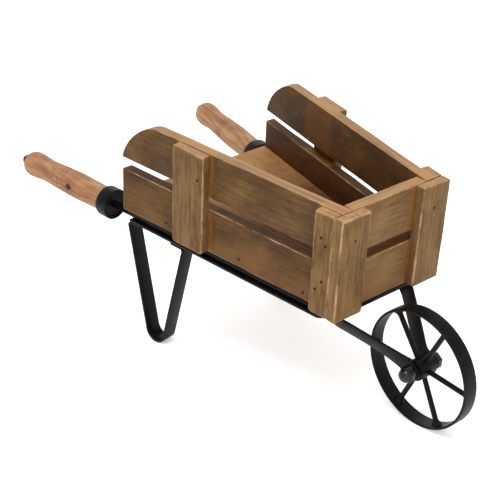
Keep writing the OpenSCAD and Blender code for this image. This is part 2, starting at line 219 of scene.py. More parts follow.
class Flow:                                          # one socket, so shader maths reads as a sum
    def __init__(self, finish, socket):
        self.finish = finish
        self.socket = socket

    def calc(self, how, *values):
        return self.finish.add("ShaderNodeMath", {"operation": how}, list(values))

    def __add__(self, other):
        return self.calc("ADD", self, other)

    __radd__ = __add__

    def __sub__(self, other):
        return self.calc("SUBTRACT", self, other)

    def __rsub__(self, other):
        return self.calc("SUBTRACT", other, self)

    def __mul__(self, other):
        return self.calc("MULTIPLY", self, other)

    __rmul__ = __mul__

    def __truediv__(self, other):
        return self.calc("DIVIDE", self, other)

    def __pow__(self, other):
        return self.calc("POWER", self, other)

    def __abs__(self):
        return self.calc("ABSOLUTE", self)

    def least(self, other):
        return self.calc("MINIMUM", self, other)

    def most(self, other):
        return self.calc("MAXIMUM", self, other)

    def sine(self):
        return self.calc("SINE", self)

    def step(self, low, high):                       # 0 below low, 1 above high, smooth between
        return self.finish.add(
            "ShaderNodeMapRange", {"interpolation_type": "SMOOTHSTEP"},
            {"Value": self, "From Min": low, "From Max": high},
        )


class Finish:                                        # a material and the nodes in it
    def __init__(self, name):
        self.material = bpy.data.materials.new(name)
        self.material.use_nodes = True
        self.nodes = self.material.node_tree.nodes
        self.links = self.material.node_tree.links
        self.shader = self.nodes["Principled BSDF"]

    def add(self, kind, settings=None, values=None, out=0):
        node = self.nodes.new(kind)
        for name, value in (settings or {}).items():
            if name == "stops":
                self.setStops(node, value)
            else:
                setattr(node, name, value)
        pairs = values.items() if isinstance(values, dict) else enumerate(values or [])
        for name, value in pairs:
            self.feed(node.inputs[name], value)
        return Flow(self, node.outputs[out])

    def feed(self, socket, value):
        if isinstance(value, Flow):
            self.links.new(value.socket, socket)
        else:
            socket.default_value = value

    def setStops(self, node, stops):
        ramp = node.color_ramp
        while len(ramp.elements) < len(stops):
            ramp.elements.new(0.5)
        for element, (spot, shade) in zip(ramp.elements, stops):
            element.position = spot
            element.color = (*shade, 1)

    def mix(self, share, first, second, how="MIX"):
        settings = {"data_type": "RGBA", "blend_type": how, "clamp_factor": True}
        return self.add("ShaderNodeMix", settings, {0: share, 6: first, 7: second}, out=2)

    def noise(self, spot, scale, detail=3.0, rough=0.5, twist=0.0):
        return self.add(
            "ShaderNodeTexNoise", {},
            {"Vector": spot, "Scale": scale, "Detail": detail, "Roughness": rough, "Distortion": twist},
        )

    def vector(self, x, y, z):
        return self.add("ShaderNodeCombineXYZ", {}, [x, y, z])

    def split(self, vector):
        node = self.nodes.new("ShaderNodeSeparateXYZ")
        self.feed(node.inputs[0], vector)
        return [Flow(self, socket) for socket in node.outputs]

    def attribute(self, name, out="Vector"):
        return self.add("ShaderNodeAttribute", {"attribute_name": name}, {}, out=out)

    def spot(self):
        return self.add("ShaderNodeTexCoord", {}, {}, out="Object")

    def bump(self, height, depth, under=None):
        values = {"Height": height, "Strength": 1.0, "Distance": depth * mm}
        if under:
            values["Normal"] = under
        return self.add("ShaderNodeBump", {}, values)

    def wear(self, **sockets):
        for name, value in sockets.items():
            self.feed(self.shader.inputs[name.replace("_", " ")], value)
        return self.material


def tone(red, green, blue):                          # a screen shade as linear light
    def line(v):
        v = v / 255
        return v / 12.92 if v <= 0.04045 else ((v + 0.055) / 1.055) ** 2.4
    return (line(red), line(green), line(blue))


def shade(red, green, blue):
    return (*tone(red, green, blue), 1)


# wood of the crate

stain = {
    "deep": (58, 38, 18),
    "dark": (84, 59, 31),
    "middle": (120, 91, 55),
    "pale": (149, 119, 82),
    # amber stain, partly painted contact shade low down
    "amber": (118, 78, 34),
    "worn": (184, 148, 108),
    "top": (172, 136, 96),                           # sanded upper edges
    "pore": (58, 38, 22),
    "inside": (210, 180, 80),                        # painted shade multiplied over the inner faces and the edges along the gap
    # amber stain with painted contact shade beside the battens
    "seam": (140, 92, 30),
    "ringSpacing": 6.5,
    "shine": 0.15,
}


def crateFinish(name, look):
    wood = Finish(name)
    along, across, thick = wood.split(wood.attribute("grain"))
    halfLong, halfWide, halfThick = wood.split(wood.attribute("halfSize"))
    seed = wood.attribute("seed", "Fac")
    lift = wood.attribute("lift", "Fac")
    amberShare = wood.attribute("amber", "Fac")
    bevelled = wood.attribute("worn", "Fac")
    # how much painted shade each face takes inside the crate
    inside = wood.attribute("inside", "Fac")
    joint = wood.attribute("joint", "Fac")
    upper = wood.attribute("upper", "Fac")
    slow = wood.vector(along * 6 + seed * 13, across * 20 + seed * 7, thick * 20 + seed * 3)
    sway = wood.noise(slow, 1.0, 3.0, 0.55)
    ring = (across * 0.9 + thick * 0.45) / (look["ringSpacing"] * mm) + sway * 7 + seed * 9
    rings = (ring * (2 * math.pi)).sine() * 0.5 + 0.5
    fibreSpot = wood.vector(along * 34 + seed * 31, across * 760, thick * 760)
    fibre = wood.noise(fibreSpot, 1.0, 3.0, 0.62)
    streakSpot = wood.vector(along * 9 + seed * 5, across * 210 + seed * 17, thick * 210)
    streak = wood.noise(streakSpot, 1.0, 4.0, 0.6)
    blotch = wood.noise(wood.vector(along * 22 + seed, across * 34, thick * 34), 1.0, 4.0, 0.62)
    depth = rings * 0.03 + streak * 0.14 + fibre * 0.34 + blotch * 0.34 + 0.085 + lift
    stops = [
        (0.28, tone(*look["deep"])), (0.42, tone(*look["dark"])),
        (0.56, tone(*look["middle"])), (0.76, tone(*look["pale"])),
    ]
    colour = wood.add("ShaderNodeValToRGB", {"stops": stops}, [depth])
    # stain runs warmer where the boards meet and towards the bottom, partly painted contact shade
    warm = (amberShare * 0.8 + blotch * 0.9 - 0.42).step(0.1, 0.8)
    colour = wood.mix(warm * 0.5, colour, shade(*look["amber"]))
    # a run of amber stain beside each batten, partly painted contact shade
    seam = (1 - (joint / mm + blotch * 12 - 6).step(0, 7)) * (1 - inside)
    colour = wood.mix(seam * 0.6, colour, shade(*look["seam"]))
    # dark pores along the grain
    poreSpot = wood.vector(along * 70 + seed, across * 900, thick * 900)
    pore = wood.noise(poreSpot, 1.0, 2.0, 0.5).step(0.62, 0.74)
    colour = wood.mix(pore * 0.4, colour, shade(*look["pore"]))
    # the upper edges are sanded paler, and the inner faces get painted shade
    colour = wood.mix(upper * (streak * 1.1), colour, shade(*look["top"]))
    colour = wood.mix(inside, colour, shade(*look["inside"]), "MULTIPLY")
    scratch = wood.noise(wood.vector(along * 9, across * 640 + along * 90, thick * 8), 1.0, 1.0, 0.4)
    colour = wood.mix(inside * scratch.step(0.72, 0.78) * 0.35, colour, shade(*look["top"]))
    # the corners are rubbed through to bare wood
    chip = wood.noise(wood.vector(along * 110, across * 240, thick * 240), 1.0, 3.0, 0.65)
    patch = wood.noise(wood.vector(along * 24 + seed * 3, across * 24, thick * 24), 1.0, 2.0)
    longGap = halfLong - abs(along)
    wideGap = halfWide - abs(across)
    thickGap = halfThick - abs(thick)
    low = longGap.least(wideGap)
    high = longGap.most(wideGap)
    nearEdge = low.most(high.least(thickGap))
    halo = 1 - (nearEdge / mm + chip * 1.6 - 0.6).step(0.1, 1.1)
    rub = (bevelled * (chip * 0.8 + patch * 1.1 - 0.6).step(0.1, 0.6) * 0.7).most(
        halo * (chip + patch * 0.7).step(0.92, 1.08) * 0.6
    )
    colour = wood.mix(rub * (1 - inside * 0.7), colour, shade(*look["worn"]))
    height = fibre * 0.6 + rings * 0.1 + streak * 0.5 - pore * 0.7
    normal = wood.bump(height, 0.3)
    rough = 0.52 + streak * 0.22 + rub * 0.12
    return wood.wear(
        Base_Color=colour, Roughness=rough, Normal=normal, Specular_IOR_Level=look["shine"]
    )


floorStain = {
    **stain,
    "deep": (108, 74, 42),
    "dark": (128, 90, 54),
    "middle": (166, 126, 84),
    "pale": (186, 148, 106),
    "amber": (150, 100, 42),
    # painted shade multiplied over the floor towards the wheel
    "inside": (116, 92, 54),
}
crateWood = crateFinish("crateWood", stain)
floorWood = crateFinish("floorWood", floorStain)

# wood of the turned grips

gripLook = {
    "dark": (116, 76, 47),
    "middle": (152, 110, 75),
    "pale": (178, 136, 98),
    "red": (130, 80, 52),
    "line": (104, 62, 40),
    "knot": (44, 30, 20),
    "knotRing": (112, 70, 42),
    "knotAt": (-8, 3),                               # along the grain from its middle, and across it
    "ringSpacing": 5.4,
    "shine": 0.25,
}


def gripFinish(name, look, knotted):
    wood = Finish(name)
    along, across, thick = wood.split(wood.attribute("grain"))
    groove = wood.attribute("groove", "Fac")
    sway = wood.noise(wood.vector(along * 7, across * 22, thick * 22), 1.0, 2.0)
    ring = (across * 0.8 + thick * 0.6) / (look["ringSpacing"] * mm) + sway * 6
    rings = (ring * (2 * math.pi)).sine() * 0.5 + 0.5
    fibre = wood.noise(wood.vector(along * 36, across * 640, thick * 640), 1.0, 3.0, 0.6)
    streak = wood.noise(wood.vector(along * 14, across * 170, thick * 170), 1.0, 3.0, 0.6)
    blotch = wood.noise(wood.vector(along * 26, across * 52, thick * 52), 1.0, 3.0, 0.55)
    depth = rings * 0.1 + fibre * 0.36 + streak * 0.42 + blotch * 0.42 - 0.11
    stops = [
        (0.38, tone(*look["dark"])), (0.55, tone(*look["middle"])), (0.76, tone(*look["pale"])),
    ]
    colour = wood.add("ShaderNodeValToRGB", {"stops": stops}, [depth])
    reddish = wood.noise(wood.vector(along * 30 + 4, across * 120, thick * 120), 1.0, 2.0)
    colour = wood.mix(reddish.step(0.52, 0.74) * 0.5, colour, shade(*look["red"]))
    if knotted:
        # a dark knot with a ring of red-brown wood around it
        warp = wood.noise(wood.vector(along * 90, across * 90, thick * 90), 1.0, 2.0) * 4 - 2
        far = abs(along / mm - look["knotAt"][0]) / 1.2 + warp
        off = abs(across / mm - look["knotAt"][1]) + warp
        away = (far * far + off * off) ** 0.5
        facing = thick.step(0.001, 0.006)
        heart = (1 - away.step(2.4, 4.6)) * facing
        ringed = (1 - away.step(5, 15)) * facing
        colour = wood.mix(ringed * 0.5, colour, shade(*look["knotRing"]))
        colour = wood.mix(heart, colour, shade(*look["knot"]))
    colour = wood.mix(groove * 0.7, colour, shade(*look["line"]))
    height = fibre * 0.5 + rings * 0.2
    normal = wood.bump(height, 0.18)
    rough = 0.5 + blotch * 0.18
    return wood.wear(
        Base_Color=colour, Roughness=rough, Normal=normal, Specular_IOR_Level=look["shine"]
    )


gripWoodRight = gripFinish("gripWoodRight", gripLook, True)
gripWoodLeft = gripFinish("gripWoodLeft", gripLook, False)

# black iron

ironLook = {
    "coat": (6, 6, 7),
    "dusty": (21, 20, 20),
    "rubbed": (62, 56, 52),
    "rough": 0.28,
    "shine": 0.11,
}
boltLook = {**ironLook, "rough": 0.16, "shine": 0.4}
nailLook = {
    "coat": (26, 20, 16),
    "dusty": (40, 30, 22),
    "rubbed": (64, 44, 30),
    "rough": 0.6,
    "shine": 0.11,
}


def ironFinish(name, look):
    iron = Finish(name)
    spot = iron.spot()
    mottle = iron.noise(spot, 60, 4.0, 0.6)
    grain = iron.noise(spot, 900, 3.0, 0.6)
    scuff = iron.noise(spot, 240, 4.0, 0.7)
    dusty = mottle.step(0.42, 0.7)
    colour = iron.mix(dusty * 0.5, shade(*look["coat"]), shade(*look["dusty"]))
    rubbed = scuff.step(0.6, 0.78) * mottle.step(0.45, 0.65)
    colour = iron.mix(rubbed * 0.6, colour, shade(*look["rubbed"]))
    rough = look["rough"] + mottle * 0.26 - rubbed * 0.08
    normal = iron.bump(grain * 0.5 + mottle * 0.9, 0.2)
    return iron.wear(
        Base_Color=colour, Roughness=rough, Normal=normal, Specular_IOR_Level=look["shine"]
    )


blackIron = ironFinish("blackIron", ironLook)
boltIron = ironFinish("boltIron", boltLook)
nailIron = ironFinish("nailIron", nailLook)
print("finishes mixed")

# boards

boardLook = {
    "edge": 1.1,                                     # rounding of the sawn edges
    "battenEdge": 1.6,
    "cutEvery": 15,                                  # spacing of the cross cuts that let a board wave
    "wave": 1.3,
    "rearCorner": 53.5,
    "rearCornerShape": 0.4,
    "upperCutsTo": 265,                              # the cross cuts stop short of the rounded corner
    "gapBand": (50, 80),                             # heights that hold the edges along the gap
    "warmUnder": 45,                                 # the stain is warmer below this height, partly painted contact shade
    "paleFloorTo": 285,                              # the floor has no painted shade behind this distance
    "floorFade": 130,                                # and its painted shade is full this much further forward
    "lift": {                                        # how much paler or darker each board is drawn: its own tone, and partly painted light, the front-facing boards paler than the sides
        "lowerBoard": -0.145,
        "upperBoard": -0.12,
        "frontLowerBoard": 0.02,
        "frontUpperBoard": 0.0,
        "floorBoard": 0.0,
        "midBatten": -0.02,
        "sideBatten": -0.03,
        "frontBatten": -0.01,
    },
}


def block(name, low, high):
    letGo()
    middle = [(a + b) / 2 * mm for a, b in zip(low, high)]
    bpy.ops.mesh.primitive_cube_add(size=1, location=middle)
    piece = bpy.context.object
    piece.name = name
    piece.data.name = name
    piece.scale = [(b - a) * mm for a, b in zip(low, high)]
    return fix(piece)


def crossCuts(piece, axis, low, high):
    # rings of vertices along a board, a little unevenly spaced
    count = max(2, round(abs(high - low) / boardLook["cutEvery"]))
    normal = [1 if i == axis else 0 for i in range(3)]
    openMesh(piece)
    for i in range(1, count):
        at = (low + (high - low) * (i + random.uniform(-0.2, 0.2)) / count) * mm
        bpy.ops.mesh.select_all(action="SELECT")
        bpy.ops.mesh.bisect(plane_co=[n * at for n in normal], plane_no=normal)
    closeMesh()


def slideFaces(piece, test, offset):
    grab(piece, test)
    bpy.ops.transform.translate(value=[v * mm for v in offset])
    closeMesh()


def grainOn(piece, long, wide, seed, lift, amber, inside, joint):
    # the board's own measures ride on its mesh, so grain follows each board
    mesh = piece.data
    thick = long.cross(wide)
    spots = [Vector((v.co.dot(long), v.co.dot(wide), v.co.dot(thick))) for v in mesh.vertices]
    low = [min(s[i] for s in spots) for i in range(3)]
    high = [max(s[i] for s in spots) for i in range(3)]
    middle = Vector([(a + b) / 2 for a, b in zip(low, high)])
    half = [(b - a) / 2 for a, b in zip(low, high)]
    worn = []
    upper = []
    inner = []
    for f in mesh.polygons:
        facing = [abs(f.normal.dot(d)) for d in (long, wide, thick)]
        worn.append(1.0 if max(facing) < 0.97 and facing[2] > 0.15 else 0.0)
        upper.append(1.0 if f.normal.z > 0.9 and f.center.z > 0.1 else 0.0)
        # each face's share of painted shade inside the crate
        inner.append(inside(f.center, f.normal))
    layer(mesh, "grain", [spot - middle for spot in spots])
    layer(mesh, "halfSize", [half] * len(spots))
    layer(mesh, "seed", [seed] * len(spots))
    layer(mesh, "lift", [lift] * len(spots))
    layer(mesh, "amber", [amber(v.co) for v in mesh.vertices])
    layer(mesh, "joint", [joint(v.co) * mm for v in mesh.vertices])
    layer(mesh, "worn", worn, "FACE")
    layer(mesh, "upper", upper, "FACE")
    layer(mesh, "inside", inner, "FACE")


def finishBoard(piece, edge):
    softEdges(piece, edge, 3, 40)
    roughen(piece, boardLook["wave"])
    shadeRound(piece, 35)


def sideDirection(side):
    return Vector((math.cos(taper), -side * math.sin(taper), 0))


def plain(amount):
    return lambda co: amount


def towardsFoot(co):
    # the stain is warmer low down, partly painted contact shade
    return min(1.0, 0.25 + 0.4 * max(0.0, 1 - co.z / mm / boardLook["warmUnder"]))


def sideJoint(co):
    # distance to the nearest batten along a side board, negative under it
    back = -co.x / mm
    half = battens["midWidth"] / 2
    if back > battens["midBack"]:
        return back - battens["midBack"] - half
    return min(battens["midBack"] - half - back, back - battens["sideWidth"])


def frontJoint(co):
    return battens["frontSeam"] - abs(co.y) / mm


def alongGap(centre, normal):
    low, high = boardLook["gapBand"]
    return abs(normal.z) > 0.9 and low * mm < centre.z < high * mm


def innerFaceShade(side, faceShade, gapShade):
    # painted shade on the side boards' inner faces, and on their edges along the gap
    def shadeOf(centre, normal):
        if -side * normal.y > 0.7:
            return faceShade
        return gapShade if alongGap(centre, normal) else 0.0
    return shadeOf


# painted shade on the front boards' inner faces and their edges along the gap
def frontInnerShade(centre, normal):
    return 1.0 if normal.x < -0.7 or alongGap(centre, normal) else 0.0


def floorShade(centre, normal):
    # painted shade on the floor: none at the open rear, growing towards the wheel, and some on its other
    # faces
    share = (centre.x / mm + boardLook["paleFloorTo"]) / boardLook["floorFade"]
    return min(1.0, max(0.0, share)) if normal.z > 0.7 else 0.4


def battenInnerShade(centre, normal):
    # painted shade on the faces against the boards
    inwards = -normal.x if centre.x > -0.003 else -normal.y * math.copysign(1, centre.y)
    return 1.0 if inwards > 0.7 else 0.0


boards = {}
length = crate["length"]
spread = crate["rearHalf"] - crate["frontHalf"]
across = crate["board"] / math.cos(taper)
up = Vector((0, 0, 1))

for name, foot, top in (
    ("lowerBoard", 0, crate["lowerTop"]), ("upperBoard", crate["upperFoot"], crate["height"]),
):
    board = block(name, (-length, crate["frontHalf"] - across, foot), (0, crate["frontHalf"], top))
    slideFaces(board, lambda co: co.x < -0.1, (0, spread, 0))
    if name == "upperBoard":
        grab(board, lambda co: co.x < -0.3 and co.z > (top - 1) * mm, "EDGE")
        bpy.ops.mesh.bevel(
            offset=boardLook["rearCorner"] * mm, segments=12, profile=boardLook["rearCornerShape"],
        )
        closeMesh()
    reach = boardLook["upperCutsTo"] if name == "upperBoard" else length
    crossCuts(board, 0, -reach, 0)
    boards[name + "Left"] = board
    boards[name + "Right"] = mirrored(board, name + "Right")

inFront = crate["frontHalf"] - across - 0.2
narrowing = spread * crate["board"] / length
for name, foot, top in (
    ("frontLowerBoard", 0, crate["frontGapFoot"]),
    ("frontUpperBoard", crate["frontGapTop"], crate["height"]),
):
    board = block(name, (-crate["board"], -inFront, foot), (0, inFront, top))
    crossCuts(board, 1, -inFront, inFront)
    boards[name] = board

floorHalf = inFront + narrowing
floor = block(
    "floorBoard",
    (-length, -floorHalf, 0),
    (-crate["board"] - 0.2, floorHalf, crate["floor"]),
)
widen = spread * (1 - crate["board"] / length)
slideFaces(floor, lambda co: co.x < -0.1 and co.y > 0, (0, widen, 0))
slideFaces(floor, lambda co: co.x < -0.1 and co.y < 0, (0, -widen, 0))
crossCuts(floor, 0, -length, -crate["board"])
boards["floorBoard"] = floor
print("boards sawn")

# battens

battens = {
    "midWidth": 47,
    "midBack": 204,
    "sideWidth": 27,
    "frontWidth": 41,
    "frontSeam": 38,                                 # from the middle out to the seam of stain on the front
    "top": 124.4,
    "foot": 4,
}


def batten(name, width, roundFront):
    # lies on the outer face of a side: x along the side, y outwards
    piece = block(name, (-width, 0, 0), (0, crate["batten"], battens["top"]))
    for low in ((True, False) if roundFront else (True,)):
        limit = -width / 2 * mm
        grab(piece, lambda co: co.z < 0.001 and ((co.x < limit) == low), "EDGE")
        bpy.ops.mesh.bevel(offset=battens["foot"] * mm, segments=4)
        closeMesh()
    crossCuts(piece, 2, 8, battens["top"])
    return piece


def inSideFrame(x, y):
    return Matrix.Rotation(-taper, 4, "Z") @ Matrix.Translation((x * mm, y * mm, 0))


toFront = Matrix.Translation((0, crate["frontHalf"] * mm, 0))
mid = batten("midBatten", battens["midWidth"], True)
midX = -battens["midBack"] / math.cos(taper) + battens["midWidth"] / 2
settle(mid, toFront @ inSideFrame(midX, 0))
boards["midBattenLeft"] = mid
boards["midBattenRight"] = mirrored(mid, "midBattenRight")

corner = batten("sideBatten", battens["sideWidth"] + 4, False)
settle(corner, toFront @ inSideFrame(4, 0))
openMesh(corner)
bpy.ops.mesh.select_all(action="SELECT")
bpy.ops.mesh.bisect(plane_co=(-0.0002, 0, 0), plane_no=(1, 0, 0), clear_outer=True, use_fill=True)
closeMesh()
boards["sideBattenLeft"] = corner
boards["sideBattenRight"] = mirrored(corner, "sideBattenRight")

outerY = crate["frontHalf"] + crate["batten"] / math.cos(taper)
cover = block(
    "frontBatten", (0, outerY - battens["frontWidth"], 0), (crate["batten"], outerY, battens["top"])
)
grab(cover, lambda co: co.z < 0.001 and co.y < (outerY - 5) * mm, "EDGE")
bpy.ops.mesh.bevel(offset=battens["foot"] * mm, segments=4)
closeMesh()
crossCuts(cover, 2, 8, battens["top"])
boards["frontBattenLeft"] = cover
boards["frontBattenRight"] = mirrored(cover, "frontBattenRight")
print("battens sawn")

# nails

nails = {
    "side": [(-17, 95), (-11, 87), (-20, 31), (-12, 43)],
    "middle": [(-214, 109), (-192, 94), (-213, 42), (-197, 16)],
    "floor": [(-44, 9), (-137, 10), (-251, 10)],
    "front": [(59, 96), (50, 112), (61, 44), (51, 17)],
    "filledOver": {"middle": (0, 2, 3), "front": (1, 2, 3)},
    "filledDeep": 1.6,
    "head": 1.6,
    "headDeep": 0.9,
    "shank": 0.9,
    "long": 21,
    "sunk": 0.45,
}


def turned(name, outline, sides=32):
    # a solid of revolution about Z: (radius, height) stations from one end to the other
    letGo()
    radius, height = outline[0]
    bpy.ops.mesh.primitive_circle_add(
        vertices=sides, radius=radius * mm, location=(0, 0, height * mm), fill_type="NGON"
    )
    piece = bpy.context.object
    piece.name = name
    piece.data.name = name
    fix(piece)
    openMesh(piece, "FACE")
    bpy.ops.mesh.select_all(action="SELECT")
    for newRadius, newHeight in outline[1:]:
        bpy.ops.mesh.extrude_region_move(
            TRANSFORM_OT_translate={"value": (0, 0, (newHeight - height) * mm)}
        )
        share = newRadius / radius
        bpy.ops.transform.resize(value=(share, share, 1), center_override=(0, 0, newHeight * mm))
        radius, height = newRadius, newHeight
    bpy.ops.mesh.select_all(action="SELECT")
    bpy.ops.mesh.normals_make_consistent(inside=False)
    closeMesh()
    return piece


def turnedRing(name, outline, sides=64):
    # a ring about Z: its closed section is walked round once
    letGo()
    radius, height = outline[0]
    bpy.ops.mesh.primitive_circle_add(
        vertices=sides, radius=radius * mm, location=(0, 0, height * mm), fill_type="NOTHING"
    )
    piece = bpy.context.object
    piece.name = name
    piece.data.name = name
    fix(piece)
    openMesh(piece, "EDGE")
    bpy.ops.mesh.select_all(action="SELECT")
    for newRadius, newHeight in outline[1:] + outline[:1]:
        bpy.ops.mesh.extrude_edges_move(
            TRANSFORM_OT_translate={"value": (0, 0, (newHeight - height) * mm)}
        )
        share = newRadius / radius
        bpy.ops.transform.resize(value=(share, share, 1), center_override=(0, 0, newHeight * mm))
        radius, height = newRadius, newHeight
    bpy.ops.mesh.select_all(action="SELECT")
    bpy.ops.mesh.remove_doubles(threshold=0.00001)
    bpy.ops.mesh.normals_make_consistent(inside=False)
    closeMesh()
    return piece


def nailSpots():
    # where each nail's head lies and which way it points in, in the crate's frame
    spots = []
    for side in (1, -1):
        turn = Matrix.Translation((0, side * crate["frontHalf"] * mm, 0))
        turn = turn @ Matrix.Rotation(-side * taper, 4, "Z")
        for group in ("side", "middle", "floor"):
            out = 0 if group == "floor" else crate["batten"]
            for number, (x, z) in enumerate(nails[group]):
                at = turn @ Vector((x * mm, side * out * mm, z * mm))
                way = turn.to_3x3() @ Vector((0, side, 0))
                spots.append((at, way, group, number))
        for number, (y, z) in enumerate(nails["front"]):
            at = Vector((crate["batten"] * mm, side * y * mm, z * mm))
            spots.append((at, Vector((1, 0, 0)), "front", number))
    return spots


def along(at, way):
    return Matrix.Translation(at) @ way.to_track_quat("Z", "Y").to_matrix().to_4x4()


shankR, headR, headDeep = nails["shank"], nails["head"], nails["headDeep"]
oneNail = turned(
    "nail",
    [
        (0.15, -nails["long"]), (shankR, -nails["long"] + 2), (shankR, -headDeep - 0.4),
        (headR, -headDeep), (headR, -0.25), (headR * 0.7, 0), (0.2, 0.08),
    ],
    12,
)
shadeRound(oneNail, 40)
punch = turned("punch", [(headR + 0.15, -1.5), (headR + 0.3, 1.5)], 12)
punches = []
battenNails = []
floorNails = []
for index, (at, way, group, number) in enumerate(nailSpots()):
    filled = number in nails["filledOver"].get(group, ())
    sunk = nails["filledDeep" if filled else "sunk"]
    nail = copyOf(oneNail, f"nail{index}")
    settle(nail, along(at - way * sunk * mm, way))
    (floorNails if group == "floor" else battenNails).append(nail)
    if not filled:
        hole = copyOf(punch, f"punch{index}")
        punches.append(settle(hole, along(at, way)))
allPunches = joined(punches, "allPunches")
for spare in (oneNail, punch):
    bpy.data.objects.remove(spare)
battenNails = joined(battenNails, "battenNails")
floorNails = joined(floorNails, "floorNails")

leftwards = Vector((0, 1, 0))
farFromSeam = plain(50)
for number, (name, board) in enumerate(boards.items()):
    side = -1 if name.endswith("Right") else 1
    isBatten = "Batten" in name
    finishBoard(board, boardLook["battenEdge" if isBatten else "edge"])
    if isBatten or name.startswith("lowerBoard"):
        useModifier(board, "BOOLEAN", object=allPunches, operation="DIFFERENCE", solver="EXACT")
        shadeRound(board, 35)
    if isBatten:
        long, wide = up, leftwards if name.startswith("front") else sideDirection(side)
        warmth, inside, joint = plain(0.2), battenInnerShade, farFromSeam
    elif name.startswith("front"):
        long, wide = leftwards, up
        warmth, inside, joint = towardsFoot, frontInnerShade, frontJoint
    elif name == "floorBoard":
        long, wide = Vector((1, 0, 0)), leftwards
        warmth, inside, joint = plain(0.55), floorShade, farFromSeam
    else:
        long, wide = sideDirection(side), up
        warmth, joint = towardsFoot, sideJoint
        # painted shade: full on the lower board's inner face, less on the upper's, a little along the gap
        inside = innerFaceShade(side, 0.6 if name.startswith("upper") else 1.0, 0.2)
    # each board's tone, partly painted light by the way it faces
    lift = boardLook["lift"][name.removesuffix("Left").removesuffix("Right")]
    grainOn(board, long, wide, number * 0.37 % 1.9, lift, warmth, inside, joint)
    settle(board, place)
    nodeName = "".join("_" + c.lower() if c.isupper() else c for c in name)
    slotName = "floor_wood" if name == "floorBoard" else "crate_wood"
    done(board, "frame", [nodeName], floorWood if name == "floorBoard" else crateWood)
bpy.data.objects.remove(allPunches)
done(settle(battenNails, place), "frame", ["batten_nails"], nailIron)
done(settle(floorNails, place), "frame", ["floor_nails"], nailIron)
print("boards and battens nailed up")

# rods, ferrules and grips

grip = {
    "rod": 9,
    "rodIn": 8,
    "rodDown": 6.5,
    "ferruleBack": 21,
    "ferruleLong": 18,
    "ferruleRadius": 19.5,
    "long": 144.5,
    "sides": 56,
    "grooves": (66, 70.5, 75),
    "grooveDeep": 0.45,
    "grainFrom": 60,                                 # where the grain is measured from
    "leftForward": 8,                                # the left handle sits this much further forward
    "nut": 6.4,
    "nutOut": 4.5,
}
ferruleEnd = grip["ferruleBack"] + grip["ferruleLong"]
gripEnd = ferruleEnd + grip["long"]
gripShape = [
    (0, 14.9), (0.07, 15.4), (0.19, 16), (0.36, 16.5), (0.53, 15.6),
    (0.65, 14.8), (0.74, 14.5), (0.81, 15.3), (0.88, 16.2), (0.93, 15.9),
    (0.965, 14.2), (0.988, 11.6), (1, 8.4),
]


def gripPlace(side):
    # Z runs rearwards along the rod from the rear of the crate
    back = sideLength - (grip["leftForward"] if side > 0 else 0)
    at = Matrix.Translation((-back * mm, -side * grip["rodIn"] * mm, -grip["rodDown"] * mm))
    return sidePlace(side) @ at @ Matrix.Rotation(math.radians(-90), 4, "Y")


def eased(p, q, r, s, t):
    # the curve from q to r that heads on from p and towards s
    straight = 2 * q + (r - p) * t
    bend = (2 * p - 5 * q + 4 * r - s) * t * t
    return 0.5 * (straight + bend + (3 * q - p - 3 * r + s) * t ** 3)


def smoothShape(stations, steps):
    shape = []
    for i in range(len(stations) - 1):
        a, b = stations[max(0, i - 1)], stations[i]
        c, d = stations[i + 1], stations[min(len(stations) - 1, i + 2)]
        for step in range(steps):
            shape.append(tuple(eased(*values, step / steps) for values in zip(a, b, c, d)))
    return shape + [stations[-1]]


def gripOutline():
    grooveDeep = grip["grooveDeep"]
    outline = [(r, ferruleEnd + t * grip["long"]) for t, r in smoothShape(gripShape, 5)]
    for back in grip["grooves"]:                     # three fine turned lines
        at = ferruleEnd + back
        radius = next(r for r, z in outline if z >= at)
        outline = [p for p in outline if abs(p[1] - at) > 1.4]
        outline += [
            (radius, at - 0.9), (radius - grooveDeep, at - 0.3),
            (radius - grooveDeep, at + 0.3), (radius, at + 0.9),
        ]
        outline.sort(key=lambda p: p[1])
    inFerrule = [(13.6, ferruleEnd - 11), (14, ferruleEnd - 10.6), (14, ferruleEnd)]
    return inFerrule + outline + [(3.3, gripEnd)]


